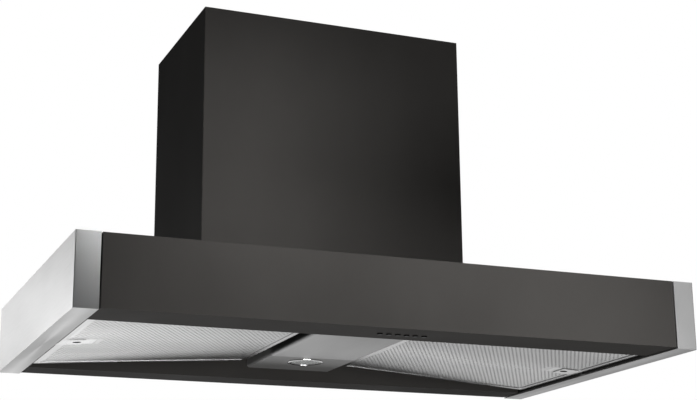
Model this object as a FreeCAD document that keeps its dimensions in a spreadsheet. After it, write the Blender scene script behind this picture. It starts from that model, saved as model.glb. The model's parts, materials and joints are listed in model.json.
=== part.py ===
import FreeCAD, Part
import Sketcher

import math
import os

# Wall chimney range hood: a flat dark canopy between two brushed steel ends, a chimney
# cover flush with the wall, two hinged grease filters, a lamp tray, six push buttons and,
# inside, a centrifugal blower with a spigot and two damper flaps.
# X runs to the right, Y towards the wall, Z up. The origin is the middle of the canopy's
# underside. Everything is in millimetres.

DIMENSIONS = {
    # canopy
    "hood_width": 1000, "hood_depth": 585, "hood_height": 109,
    "end_width": 36, "steel": 1.5, "end_corner": 1.8, "seam": 2.5,
    "gauge": 1.2, "recess": 2, "lip_gap": 1.5, "front_lip": 86, "rear_lip": 62,
    "lip_flange": 44, "top_flange": 15, "rail_height": 60, "rail_web": 1.2,
    "window_low": 66, "window_high": 100, "window_inset": 40, "catch_play": 3,
    # centre tray and lamp
    "tray_half": 78, "tray_floor": 22, "tray_height": 38, "tray_bend": 5,
    "lamp_split": 103, "lamp_y": 146, "lamp_radius": 31, "lamp_hole": 28, "lamp_wall": 1.2,
    "lamp_drop": 1.2, "lamp_lens": 25.5, "lamp_height": 24, "lens_rise": 2, "lens_play": 0.15,
    "bowl_roof": 4, "bulb_low": 6, "bulb_roof": 2,
    # filters
    "filter_inner": 90, "filter_outer": 458, "filter_inner_z": 30, "filter_outer_z": 5,
    "filter_front": 203, "filter_rear": 211, "filter_thick": 10, "filter_rim": 9,
    "filter_wall": 1.2, "sheet_thick": 0.8, "mesh_thick": 1.5, "pin_radius": 2, "pin_inset": 4,
    "pin_stand": 2, "pin_play": 0.08,
    # filter latches
    "latch_length": 38, "latch_half": 19, "latch_y": 5, "latch_box": 57, "latch_play": 0.3,
    "latch_hole": 6.5, "latch_hole_inset": 29, "bolt_reach": 4, "bolt_half": 7,
    "slide_half": 14, "slide_travel": 8, "slide_gap": 0.5, "slide_spare": 2, "seat_play": 0.2,
    "seat_end_play": 0.5, "seat_step": 1, "bolt_play": 0.6, "bolt_slot_top": 7.5,
    "dimple_deep": 2.4, "dimple_step": 1,
    # push buttons
    "button_first": -28, "button_pitch": 14.5, "button_y": -244, "button_radius": 4.4,
    "button_count": 6, "button_drop": 1.7, "button_top": 9.2, "button_gap": 0.4,
    "button_edge": 0.7, "collar_rim": 1.2, "collar_low": 0.3, "collar_high": 1.5,
    "control_left": -42, "control_right": 58, "control_front": -272, "control_rear": -218,
    "control_height": 30, "case_wall": 2, "board_z": 20, "board_thick": 1.6, "switch_z": 12.2,
    # chimney cover and its wall bracket
    "flue_width": 471, "flue_depth": 296, "flue_top": 590, "flue_corner": 2,
    "bracket_z": 525, "bracket_height": 30, "bracket_arm": 34, "bracket_hole_x": 150,
    # blower box, scroll and wheel
    "box_half": 130, "box_front": 24, "box_rear": 280, "box_top": 400, "box_wall": 1,
    "box_flange": 8, "box_screw_inset": 30, "inlet_margin": 12,
    "wheel_y": 148, "wheel_z": 245, "wheel_radius": 75, "wheel_half": 60, "blade_inner": 60,
    "blade_thick": 1.2, "blade_count": 24, "scroll_radius": 88, "scroll_step": 11,
    "scroll_half": 80, "scroll_wall": 2, "scroll_shift": 16, "scroll_rise": 5, "tongue": 5,
    "inlet_radius": 62, "disc_half": 1, "hub_radius": 11, "hub_half": 10, "blade_lean": 4.8,
    "blade_inset": 0.4, "ring_width": 4, "ring_thick": 3,
    "motor_radius": 42, "motor_inner": 16, "motor_edge": 3, "nose_rim": 2, "nose_height": 3,
    "shaft_radius": 4, "shaft_play": 0.05, "shaft_depth": 20, "shaft_gap": 1, "shaft_end": 14,
    "spider_out": 5, "spider_thick": 2, "spider_hub": 34, "spider_arm": 6, "spider_end": 5,
    # duct collar and damper
    "duct_y": 195, "duct_radius": 75, "duct_wall": 1.5, "duct_height": 50, "duct_flange": 84,
    "duct_plate": 1.5, "duct_shoulder": 76.8, "shoulder_height": 4,
    "flap_radius": 72.6, "flap_thick": 1.2, "flap_axis": 4, "flap_z": 409, "flap_pin": 1.5,
    "flap_play": 0.08, "flap_barrel": 2.5, "barrel_inset": 4, "flap_spare": 1, "flap_end": 0.1,
    "ledge_radius": 70, "ledge_thick": 1.5, "ledge_gap": 0.3, "ledge_bite": 0.5,
    # electrics
    "case_width": 44, "case_front": 70, "case_rear": 150, "case_low": 200, "case_high": 250,
    "block_inset": 4, "block_width": 16, "block_front": 100, "block_rear": 142,
    "block_height": 16, "gland_x": 22, "gland_y": 90, "gland_neck": 8, "gland_nut": 12,
    "gland_bore": 4.5, "gland_low": 244, "gland_top": 264, "gland_step": 252, "gland_play": 0.2,
    "gland_edge": 1.5, "cap_y": 210, "cap_z": 150, "cap_radius": 15, "cap_length": 60,
    "cap_edge": 2, "coil_half": 60, "coil_front": -150, "coil_rear": -95, "coil_height": 28,
    "coil_edge": 3,
    # mounting holes and screws
    "wall_hole_x": 350, "wall_hole_low": 62, "wall_hole_high": 92, "wall_hole_radius": 4,
    "screw_radius": 1.5, "screw_head": 3.4, "screw_head_height": 1.8, "screw_length": 7,
}

LEAST_CUT = 0.01  # mm3, less than any real cut removes

doc = FreeCAD.newDocument("RangeHood")
sheet = doc.addObject("Spreadsheet::Sheet", "Dims")
for row, (alias, number) in enumerate(DIMENSIONS.items(), 1):
    sheet.set(f"A{row}", alias)
    sheet.set(f"B{row}", str(number))
    sheet.setAlias(f"B{row}", alias)
doc.recompute()

# Lengths that several pieces share, as expressions on the driving dimensions.
HALF = "(Dims.hood_width / 2)"
REAR = "(Dims.hood_depth / 2)"
TOP = "Dims.hood_height"
END = f"({HALF} - Dims.end_width)"
SIDE = f"({END} - Dims.seam)"
LIP_FRONT = f"(-{REAR} + Dims.front_lip)"
LIP_REAR = f"({REAR} - Dims.rear_lip)"
DECK = f"({TOP} - Dims.gauge)"
FLUE_FRONT = f"({REAR} - Dims.flue_depth)"
FILTER_SPAN = "(Dims.filter_outer - Dims.filter_inner)"
FILTER_DROP = "(Dims.filter_inner_z - Dims.filter_outer_z)"
FILTER_LENGTH = f"sqrt({FILTER_SPAN} ^ 2 + {FILTER_DROP} ^ 2)"
FILTER_TILT = f"atan({FILTER_DROP} / {FILTER_SPAN})"
PIN_X = (f"(Dims.filter_inner + Dims.pin_inset * cos({FILTER_TILT})"
         f" + Dims.filter_thick / 2 * sin({FILTER_TILT}))")
PIN_Z = (f"(Dims.filter_inner_z - Dims.pin_inset * sin({FILTER_TILT})"
         f" + Dims.filter_thick / 2 * cos({FILTER_TILT}))")


# ---------------------------------------------------------------- drawing helpers

def value(expression):
    """The number that an expression on the sheet gives."""
    return float(sheet.evalExpression(str(expression)))


def new_body(label):
    body = doc.addObject("PartDesign::Body", label)
    body.Label = label
    return body


def sketch_on(body, name, role, offset):
    """A sketch on one of the body's origin planes, moved along the plane's normal."""
    plane = next(item for item in body.Origin.OriginFeatures if item.Role == role)
    sketch = body.newObject("Sketcher::SketchObject", f"{body.Label}_{name}")
    sketch.AttachmentSupport = [(plane, "")]
    sketch.MapMode = "FlatFace"
    sketch.setExpression("AttachmentOffset.Base.z", str(offset))
    return sketch


def hold(sketch, kind, where, expression):
    """A dimension bound to an expression."""
    number = sketch.addConstraint(Sketcher.Constraint(kind, *where, value(expression)))
    sketch.setExpression(f"Constraints[{number}]", str(expression))


def hold_point(sketch, shape, end, u, v):
    hold(sketch, "DistanceX", (-1, 1, shape, end), u)
    hold(sketch, "DistanceY", (-1, 1, shape, end), v)


def outline(sketch, corners):
    """A closed outline, anticlockwise. A corner is (u, v), or (u, v, centre_u, centre_v)
    where an arc about that centre leads on to the next corner."""
    first = sketch.GeometryCount
    spots = [FreeCAD.Vector(value(corner[0]), value(corner[1]), 0) for corner in corners]
    for index, corner in enumerate(corners):
        start = spots[index]
        end = spots[(index + 1) % len(spots)]
        if len(corner) == 2:
            sketch.addGeometry(Part.LineSegment(start, end), False)
            continue
        centre = FreeCAD.Vector(value(corner[2]), value(corner[3]), 0)
        angles = [math.atan2(spot.y - centre.y, spot.x - centre.x) for spot in (start, end)]
        ring = Part.Circle(centre, FreeCAD.Vector(0, 0, 1), (start - centre).Length)
        sketch.addGeometry(Part.ArcOfCircle(ring, *angles), False)
    for index in range(len(corners)):
        following = first + (index + 1) % len(corners)
        sketch.addConstraint(Sketcher.Constraint("Coincident", first + index, 2, following, 1))
    for index, corner in enumerate(corners):
        hold_point(sketch, first + index, 1, corner[0], corner[1])
        if len(corner) == 4:
            radius = f"sqrt(({corner[0]} - ({corner[2]})) ^ 2 + ({corner[1]} - ({corner[3]})) ^ 2)"
            hold(sketch, "Radius", (first + index,), radius)


def circle(sketch, u, v, radius):
    centre = FreeCAD.Vector(value(u), value(v), 0)
    ring = Part.Circle(centre, FreeCAD.Vector(0, 0, 1), value(radius))
    shape = sketch.addGeometry(ring, False)
    hold_point(sketch, shape, 3, u, v)
    hold(sketch, "Radius", (shape,), radius)


def pad(body, sketch, length):
    feature = body.newObject("PartDesign::Pad", f"{sketch.Name}_pad")
    feature.Profile = sketch
    feature.setExpression("Length", str(length))
    sketch.Visibility = False
    return feature


def pocket(body, sketch, length):
    """Cuts from the sketch along its plane's normal."""
    feature = body.newObject("PartDesign::Pocket", f"{sketch.Name}_cut")
    feature.Profile = sketch
    feature.Reversed = True
    feature.setExpression("Length", str(length))
    sketch.Visibility = False
    return feature


def block(body, name, x, y, z, make=pad):
    """A rectangular block, or a cut, between pairs of X, Y and Z expressions."""
    sketch = sketch_on(body, name, "XY_Plane", z[0])
    outline(sketch, [(x[0], y[0]), (x[1], y[0]), (x[1], y[1]), (x[0], y[1])])
    return make(body, sketch, f"{z[1]} - ({z[0]})")


def disc(body, name, role, centre, radius, span, make=pad):
    """A round block, or a cut, on a plane between two distances along its normal."""
    sketch = sketch_on(body, name, role, span[0])
    circle(sketch, centre[0], centre[1], radius)
    return make(body, sketch, f"{span[1]} - ({span[0]})")


def ring(body, name, role, centre, radii, span, make=pad):
    sketch = sketch_on(body, name, role, span[0])
    for radius in radii:
        circle(sketch, centre[0], centre[1], radius)
    return make(body, sketch, f"{span[1]} - ({span[0]})")


def holes(body, name, role, centres, radius, span):
    """Round holes cut between two distances along a plane's normal."""
    sketch = sketch_on(body, name, role, span[0])
    for u, v in centres:
        circle(sketch, u, v, radius)
    return pocket(body, sketch, f"{span[1]} - ({span[0]})")


def side_span(side, near, far):
    """The X range from near to far on the left (-1) or the right (1)."""
    if side > 0:
        return (near, far)
    return (f"-({far})", f"-({near})")


def round_edges(body, radius, chosen):
    """Rounds the edges of the body's present shape that chosen(edge) picks."""
    doc.recompute()
    base = body.Tip
    names = [f"Edge{n}" for n, edge in enumerate(base.Shape.Edges, 1) if chosen(edge)]
    feature = body.newObject("PartDesign::Fillet", f"{body.Label}_round")
    feature.Base = (base, names)
    feature.setExpression("Radius", str(radius))
    return feature


def runs(edge, axis):
    """Whether a straight edge runs along an axis, 'x', 'y' or 'z'."""
    if not isinstance(edge.Curve, Part.Line):
        return False
    return abs(abs(getattr(edge.Curve.Direction, axis)) - 1) < 1e-6


def at(number, expression):
    return abs(number - value(expression)) < 1e-3


def cylinder(name, centre, axis, radius, length):
    """A Part cylinder whose base centre, radius and length are bound to expressions."""
    item = doc.addObject("Part::Cylinder", name)
    turn = FreeCAD.Rotation(FreeCAD.Vector(0, 0, 1), FreeCAD.Vector(*axis))
    item.Placement = FreeCAD.Placement(FreeCAD.Vector(0, 0, 0), turn)
    item.setExpression("Radius", str(radius))
    item.setExpression("Height", str(length))
    for letter, expression in zip("xyz", centre):
        item.setExpression(f"Placement.Base.{letter}", str(expression))
    return item


def cluster(label, items):
    """Several like pieces kept as separate solids in one node."""
    group = doc.addObject("Part::Compound", label)
    group.Label = label
    group.Links = items
    return group


def screws(label, places, axis):
    """Pan-head screws. Each place is the seat of the head; the shank runs along the axis."""
    made = []
    for number, place in enumerate(places, 1):
        seat = list(place)
        crown = [f"{p} - ({a}) * Dims.screw_head_height" for p, a in zip(place, axis)]
        head = cylinder(f"{label}_head_{number}", crown, axis, "Dims.screw_head",
                        "Dims.screw_head_height")
        shank = cylinder(f"{label}_shank_{number}", seat, axis, "Dims.screw_radius",
                         "Dims.screw_length")
        whole = doc.addObject("Part::Fuse", f"{label}_{number}")
        whole.Base = head
        whole.Tool = shank
        made.append(whole)
    return cluster(label, made)


# ---------------------------------------------------------------- canopy

def end_frame(side, name):
    """A steel end: a box-section cap with a window in its hidden inner wall."""
    body = new_body(f"{name}_end_frame")
    inside = f"({HALF} - Dims.steel)"
    block(body, "box", side_span(side, END, HALF), (f"-{REAR}", REAR), ("0", TOP))
    block(body, "hollow", side_span(side, f"{END} + Dims.steel", inside),
          (f"-{REAR} + Dims.steel", f"{REAR} - Dims.steel"), ("Dims.steel", f"{TOP} - Dims.steel"),
          pocket)
    block(body, "window", side_span(side, END, f"{END} + Dims.steel"),
          (f"-{REAR} + Dims.window_inset", f"{REAR} - Dims.window_inset"),
          ("Dims.window_low", "Dims.window_high"), pocket)
    outer = value(HALF) * side
    round_edges(body, "Dims.end_corner", lambda edge: runs(edge, "z")
                and abs(edge.CenterOfMass.x - outer) < 1e-3
                and abs(abs(edge.CenterOfMass.y) - value(REAR)) < 1e-3)
    return body


def flat_panel(label, face_y, inward, top):
    """An upright canopy panel with a return flange along its top."""
    body = new_body(label)
    inner = f"({face_y} + {inward} * Dims.gauge)"
    flange = f"({face_y} + {inward} * Dims.top_flange)"
    under = f"({top} - Dims.gauge)"
    corners = [(face_y, "Dims.recess"), (face_y, top), (flange, top), (flange, under),
               (inner, under), (inner, "Dims.recess")]
    if inward > 0:
        corners.reverse()
    sketch = sketch_on(body, "profile", "YZ_Plane", f"-{SIDE}")
    outline(sketch, corners)
    pad(body, sketch, f"2 * {SIDE}")
    round_edges(body, "Dims.gauge", lambda edge: runs(edge, "x")
                and at(edge.CenterOfMass.z, top) and at(edge.CenterOfMass.y, face_y))
    return body


def lip_channel(label, front_y, rear_y):
    """A folded channel that closes the canopy's underside along the front or the rear."""
    body = new_body(label)
    top = "(Dims.recess + Dims.lip_flange)"
    floor = "(Dims.recess + Dims.gauge)"
    sketch = sketch_on(body, "profile", "YZ_Plane", f"-{SIDE}")
    outline(sketch, [(front_y, "Dims.recess"), (rear_y, "Dims.recess"), (rear_y, top),
                     (f"{rear_y} - Dims.gauge", top), (f"{rear_y} - Dims.gauge", floor),
                     (f"{front_y} + Dims.gauge", floor), (f"{front_y} + Dims.gauge", top),
                     (front_y, top)])
    pad(body, sketch, f"2 * {SIDE}")
    return body


def pin_holes(body, wall_rear):
    """Holes for the filters' hinge pins through a lip channel's inner flange."""
    centres = [(f"-{PIN_X}", PIN_Z), (PIN_X, PIN_Z)]
    holes(body, "pin_holes", "XZ_Plane", centres, "Dims.pin_radius + Dims.pin_play",
          (f"-({wall_rear})", f"-({wall_rear}) + Dims.gauge"))


def front_lip():
    body = lip_channel("front_lip", f"(-{REAR} + Dims.gauge + Dims.lip_gap)", LIP_FRONT)
    pin_holes(body, LIP_FRONT)
    sketch = sketch_on(body, "button_hole", "XY_Plane", "Dims.recess")
    circle(sketch, "Dims.button_first", "Dims.button_y", "Dims.button_radius + Dims.button_gap")
    cut = pocket(body, sketch, "Dims.gauge")
    row = body.newObject("PartDesign::LinearPattern", "front_lip_button_holes")
    row.Originals = [cut]
    row.Direction = (sketch, ["H_Axis"])
    row.setExpression("Length", "(Dims.button_count - 1) * Dims.button_pitch")
    row.setExpression("Occurrences", "Dims.button_count")
    body.Tip = row
    return body


def rear_lip():
    body = lip_channel("rear_lip", LIP_REAR, f"({REAR} - Dims.gauge - Dims.lip_gap)")
    pin_holes(body, f"{LIP_REAR} + Dims.gauge")
    return body


def rear_panel():
    """The rear panel, under the top sheet, with two rows of holes for the wall screws."""
    body = flat_panel("rear_panel", REAR, -1, f"({DECK} - Dims.gauge)")
    centres = [(f"{side} * Dims.wall_hole_x", height) for side in (-1, 1)
               for height in ("Dims.wall_hole_low", "Dims.wall_hole_high")]
    holes(body, "wall_holes", "XZ_Plane", centres, "Dims.wall_hole_radius",
          (f"-{REAR}", f"-{REAR} + Dims.gauge"))
    return body


BOX_SCREWS = [(f"{side} * (Dims.box_half + Dims.box_flange / 2)", y) for side in (-1, 1)
              for y in ("Dims.box_front + Dims.box_screw_inset",
                        "Dims.box_rear - Dims.box_screw_inset")]


def top_panel():
    """The canopy's top sheet, open below the blower box."""
    body = new_body("top_panel")
    low = f"({DECK} - Dims.gauge)"
    block(body, "sheet", (f"-{SIDE}", SIDE), (f"-{REAR} + Dims.gauge", REAR), (low, DECK))
    block(body, "inlet", ("-Dims.box_half + Dims.inlet_margin", "Dims.box_half - Dims.inlet_margin"),
          ("Dims.box_front + Dims.inlet_margin", "Dims.box_rear - Dims.inlet_margin"),
          (low, DECK), pocket)
    holes(body, "screw_holes", "XY_Plane", BOX_SCREWS, "Dims.screw_radius", (low, DECK))
    return body


def side_rail(side, name):
    """A channel that joins the lips at one side and carries the filter's catch notch."""
    body = new_body(f"{name}_side_rail")
    web = f"({SIDE} - Dims.rail_web)"
    length = (LIP_FRONT, LIP_REAR)
    block(body, "web", side_span(side, web, SIDE), length, ("Dims.recess", "Dims.rail_height"))
    for number, height in enumerate(("Dims.rail_height", "Dims.rail_height / 2"), 1):
        block(body, f"flange_{number}", side_span(side, web, END), length,
              (f"{height} - Dims.rail_web", height))
    block(body, "notch", side_span(side, web, SIDE),
          ("Dims.latch_y - Dims.bolt_half - Dims.catch_play",
           "Dims.latch_y + Dims.bolt_half + Dims.catch_play"),
          ("Dims.recess", "Dims.filter_outer_z + Dims.filter_thick"), pocket)
    return body


# ---------------------------------------------------------------- tray and lamp

def tray(label, front_y, rear_y):
    """One length of the folded tray between the filters, with rounded lower bends."""
    body = new_body(label)
    top = "(Dims.tray_floor + Dims.tray_height)"
    outer = "Dims.tray_half"
    inner = "(Dims.tray_half - Dims.gauge)"
    floor = "(Dims.tray_floor + Dims.gauge)"
    sketch = sketch_on(body, "profile", "XZ_Plane", f"-({rear_y})")
    outline(sketch, [(f"-{outer}", "Dims.tray_floor"), (outer, "Dims.tray_floor"), (outer, top),
                     (inner, top), (inner, floor), (f"-{inner}", floor), (f"-{inner}", top),
                     (f"-{outer}", top)])
    pad(body, sketch, f"{rear_y} - ({front_y})")
    for height, radius in (("Dims.tray_floor", "Dims.tray_bend"),
                           (floor, "Dims.tray_bend - Dims.gauge")):
        round_edges(body, radius, lambda edge: runs(edge, "y")
                    and at(edge.CenterOfMass.z, height))
    return body


def lamp_panel():
    body = tray("lamp_panel", "Dims.lamp_split", LIP_REAR)
    disc(body, "lamp_hole", "XY_Plane", ("0", "Dims.lamp_y"), "Dims.lamp_hole",
         ("Dims.tray_floor", "Dims.tray_floor + Dims.gauge"), pocket)
    return body


def lamp():
    """Bezel, lens and lamp body, one above the other on the lamp's axis."""
    spot = ("0", "Dims.lamp_y")
    seat = "Dims.tray_floor"
    bezel = new_body("lamp_bezel")
    ring(bezel, "flange", "XY_Plane", spot, ("Dims.lamp_radius", "Dims.lamp_lens"),
         (f"{seat} - Dims.lamp_drop", seat))
    ring(bezel, "sleeve", "XY_Plane", spot, ("Dims.lamp_lens + Dims.lamp_wall", "Dims.lamp_lens"),
         (seat, f"{seat} + Dims.lamp_height / 2"))
    inside = "(Dims.lamp_lens - Dims.lens_play)"
    over = f"({seat} + Dims.lens_rise)"
    top = f"({seat} + Dims.lamp_height)"
    lens = new_body("lamp_lens")
    disc(lens, "glass", "XY_Plane", spot, inside, (f"{seat} - Dims.lamp_drop / 2", over))
    body = new_body("lamp_body")
    disc(body, "can", "XY_Plane", spot, inside, (over, top))
    disc(body, "bowl", "XY_Plane", spot, f"{inside} - Dims.lamp_wall",
         (over, f"{top} - Dims.bowl_roof"), pocket)
    disc(body, "bulb", "XY_Plane", spot, "Dims.lamp_lens / 3",
         (f"{seat} + Dims.bulb_low", f"{top} - Dims.bulb_roof"))
    return [bezel, lens, body]


# ---------------------------------------------------------------- filters

def tilted(body, side):
    """Lays a filter piece down: its inner edge high, its outer edge low."""
    axis = FreeCAD.Vector(0, 1, 0)
    body.Placement = FreeCAD.Placement(FreeCAD.Vector(0, 0, 0), FreeCAD.Rotation(axis, side * 5))
    body.setExpression("Placement.Rotation.Angle", f"{side} * {FILTER_TILT}")
    body.setExpression("Placement.Base.x", f"{side} * Dims.filter_inner")
    body.setExpression("Placement.Base.z", "Dims.filter_inner_z")
    return body


def latch_notch(body, side, z):
    """Room for the latch housing in a filter layer."""
    wide = "(Dims.latch_half + Dims.seat_play)"
    near = f"{FILTER_LENGTH} - Dims.latch_box - Dims.seat_end_play"
    block(body, "latch_notch", side_span(side, near, f"{FILTER_LENGTH} - Dims.filter_wall"),
          (f"Dims.latch_y - {wide}", f"Dims.latch_y + {wide}"), z, pocket)


def filter_layer(side, label, z):
    """A sheet or pad that fills the filter frame between two local heights."""
    body = new_body(label)
    block(body, "layer", side_span(side, "Dims.filter_wall", f"{FILTER_LENGTH} - Dims.filter_wall"),
          ("-Dims.filter_front + Dims.filter_wall", "Dims.filter_rear - Dims.filter_wall"), z)
    latch_notch(body, side, z)
    return tilted(body, side)


def filter_frame(side, label):
    """The filter's rim: a channel bent round the edge, cut away where the latch sits."""
    body = new_body(label)
    wall = "Dims.filter_wall"
    rim = "Dims.filter_rim"
    high = "Dims.filter_thick"
    block(body, "rim", side_span(side, "0", FILTER_LENGTH),
          ("-Dims.filter_front", "Dims.filter_rear"), ("0", high))
    block(body, "opening", side_span(side, rim, f"{FILTER_LENGTH} - {rim}"),
          (f"-Dims.filter_front + {rim}", f"Dims.filter_rear - {rim}"), ("0", high), pocket)
    block(body, "groove", side_span(side, wall, f"{FILTER_LENGTH} - {wall}"),
          (f"-Dims.filter_front + {wall}", f"Dims.filter_rear - {wall}"),
          (wall, f"{high} - {wall}"), pocket)
    wide = "(Dims.latch_half + Dims.seat_play)"
    edge = f"{FILTER_LENGTH} - {wall}"
    block(body, "latch_seat", side_span(side, f"{FILTER_LENGTH} - {rim} - Dims.seat_step", edge),
          (f"Dims.latch_y - {wide}", f"Dims.latch_y + {wide}"), ("0", wall), pocket)
    slot = "(Dims.bolt_half + Dims.bolt_play)"
    block(body, "bolt_slot", side_span(side, edge, FILTER_LENGTH),
          (f"Dims.latch_y - {slot}", f"Dims.latch_y + {slot}"), (wall, "Dims.bolt_slot_top"),
          pocket)
    return tilted(body, side)


def filter_pins(side, label):
    """The two hinge pins that stand out of the filter's inner corners."""
    x = f"{side} * {PIN_X}"
    first = f"({LIP_FRONT} - Dims.gauge - Dims.pin_stand)"
    last = f"({LIP_REAR} + Dims.gauge + Dims.pin_stand)"
    front = cylinder(f"{label}_front", (x, first, PIN_Z), (0, 1, 0), "Dims.pin_radius",
                     f"-Dims.filter_front - {first}")
    rear = cylinder(f"{label}_rear", (x, "Dims.filter_rear", PIN_Z), (0, 1, 0),
                    "Dims.pin_radius", f"{last} - Dims.filter_rear")
    return cluster(label, [front, rear])


def latch_housing(side, label):
    """A flat box with a finger hole in its face plate, open where the bolt comes out."""
    body = new_body(label)
    outer = f"({FILTER_LENGTH} - Dims.filter_wall)"
    back = f"({FILTER_LENGTH} - Dims.latch_box)"
    y = ("Dims.latch_y - Dims.latch_half", "Dims.latch_y + Dims.latch_half")
    wall = "Dims.filter_wall"
    top = "(Dims.filter_thick - Dims.filter_wall)"
    block(body, "box", side_span(side, back, outer), y, (wall, top))
    block(body, "plate", side_span(side, f"{outer} - Dims.latch_length", outer), y, ("0", wall))
    gap = "(Dims.slide_half + Dims.slide_gap)"
    floor = f"({wall} + Dims.seat_play)"
    block(body, "hollow", side_span(side, f"{back} + {wall}", outer),
          (f"Dims.latch_y - {gap}", f"Dims.latch_y + {gap}"), (floor, f"{top} - {wall}"), pocket)
    disc(body, "finger_hole", "XY_Plane",
         (f"{side} * ({FILTER_LENGTH} - Dims.latch_hole_inset)", "Dims.latch_y"),
         "Dims.latch_hole", ("0", floor), pocket)
    return tilted(body, side)


def latch_slider(side, label):
    """The sliding bolt, with a finger dimple over the housing's hole."""
    body = new_body(label)
    z = ("Dims.filter_wall + Dims.seat_play + Dims.latch_play",
         "Dims.filter_thick - 2 * Dims.filter_wall - Dims.latch_play")
    near = f"({FILTER_LENGTH} - Dims.latch_box + Dims.slide_travel + Dims.slide_spare)"
    shoulder = f"({FILTER_LENGTH} - Dims.filter_wall - Dims.seat_step)"
    block(body, "plate", side_span(side, near, shoulder),
          ("Dims.latch_y - Dims.slide_half", "Dims.latch_y + Dims.slide_half"), z)
    block(body, "bolt", side_span(side, shoulder, f"{FILTER_LENGTH} + Dims.bolt_reach"),
          ("Dims.latch_y - Dims.bolt_half", "Dims.latch_y + Dims.bolt_half"), z)
    disc(body, "dimple", "XY_Plane",
         (f"{side} * ({FILTER_LENGTH} - Dims.latch_hole_inset)", "Dims.latch_y"),
         "Dims.latch_hole - Dims.dimple_step", (z[0], f"{z[0]} + Dims.dimple_deep"), pocket)
    return tilted(body, side)


def filter_set(side, name):
    wall = "Dims.filter_wall"
    sheet_top = f"({wall} + Dims.sheet_thick)"
    return [filter_frame(side, f"{name}_filter_frame"),
            filter_layer(side, f"{name}_filter_sheet", (wall, sheet_top)),
            filter_layer(side, f"{name}_filter_mesh", (sheet_top, f"{sheet_top} + Dims.mesh_thick")),
            filter_pins(side, f"{name}_filter_pins"),
            latch_housing(side, f"{name}_latch_housing"),
            latch_slider(side, f"{name}_latch_slider")]


# ---------------------------------------------------------------- controls

def push_button(index):
    """A round button: its cap below the lip, a collar above it that keeps it in."""
    body = new_body(f"push_button_{index + 1}")
    spot = (f"Dims.button_first + {index} * Dims.button_pitch", "Dims.button_y")
    low = "(Dims.recess - Dims.button_drop)"
    disc(body, "cap", "XY_Plane", spot, "Dims.button_radius", (low, "Dims.button_top"))
    seat = "Dims.recess + Dims.gauge"
    disc(body, "collar", "XY_Plane", spot, "Dims.button_radius + Dims.collar_rim",
         (f"{seat} + Dims.collar_low", f"{seat} + Dims.collar_high"))
    round_edges(body, "Dims.button_edge", lambda edge: at(edge.CenterOfMass.z, low))
    return body


def controls():
    """The housing above the buttons, with its circuit board and six switches."""
    floor = "(Dims.recess + Dims.gauge)"
    x = ("Dims.control_left", "Dims.control_right")
    y = ("Dims.control_front", "Dims.control_rear")
    inside = [(f"{low} + Dims.case_wall", f"{high} - Dims.case_wall") for low, high in (x, y)]
    housing = new_body("control_housing")
    block(housing, "case", x, y, (floor, "Dims.control_height"))
    block(housing, "hollow", *inside, (floor, "Dims.control_height - Dims.case_wall"), pocket)
    board = new_body("control_board")
    block(board, "plate", *inside, ("Dims.board_z", "Dims.board_z + Dims.board_thick"))
    made = []
    for index in range(int(value("Dims.button_count"))):
        spot = f"Dims.button_first + {index} * Dims.button_pitch"
        item = doc.addObject("Part::Box", f"switch_{index + 1}")
        item.setExpression("Length", "Dims.button_pitch / 2")
        item.setExpression("Width", "Dims.button_pitch / 2")
        item.setExpression("Height", "Dims.board_z - Dims.switch_z")
        item.setExpression("Placement.Base.x", f"{spot} - Dims.button_pitch / 4")
        item.setExpression("Placement.Base.y", "Dims.button_y - Dims.button_pitch / 4")
        item.setExpression("Placement.Base.z", "Dims.switch_z")
        made.append(item)
    return [housing, board, cluster("button_switches", made)]


# ---------------------------------------------------------------- chimney

def chimney_cover():
    """A three-sided cover, open towards the wall, at the top and at the bottom."""
    body = new_body("chimney_cover")
    half = "Dims.flue_width / 2"
    z = (DECK, "Dims.flue_top")
    block(body, "outside", (f"-{half}", half), (FLUE_FRONT, REAR), z)
    block(body, "inside", (f"-{half} + Dims.gauge", f"{half} - Dims.gauge"),
          (f"{FLUE_FRONT} + Dims.gauge", REAR), z, pocket)
    round_edges(body, "Dims.flue_corner", lambda edge: runs(edge, "z")
                and at(edge.CenterOfMass.y, FLUE_FRONT))
    return body


def chimney_bracket():
    """The wall bracket that the chimney cover's sides are held by."""
    body = new_body("chimney_bracket")
    half = "(Dims.flue_width / 2 - Dims.gauge)"
    z = ("Dims.bracket_z", "Dims.bracket_z + Dims.bracket_height")
    block(body, "plate", (f"-{half}", half), (f"{REAR} - Dims.bracket_arm", REAR), z)
    block(body, "gap", (f"-{half} + Dims.steel", f"{half} - Dims.steel"),
          (f"{REAR} - Dims.bracket_arm", f"{REAR} - Dims.steel"), z, pocket)
    height = "Dims.bracket_z + Dims.bracket_height / 2"
    holes(body, "wall_holes", "XZ_Plane",
          [("-Dims.bracket_hole_x", height), ("Dims.bracket_hole_x", height)],
          "Dims.wall_hole_radius", (f"-{REAR}", f"-{REAR} + Dims.steel"))
    return body


# ---------------------------------------------------------------- blower

COLLAR_RING = "(Dims.duct_flange - Dims.screw_head)"
COLLAR_SCREWS = [(f"{COLLAR_RING} * cos({turn})", f"Dims.duct_y + {COLLAR_RING} * sin({turn})")
                 for turn in (60, 120, 240, 300)]


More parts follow.
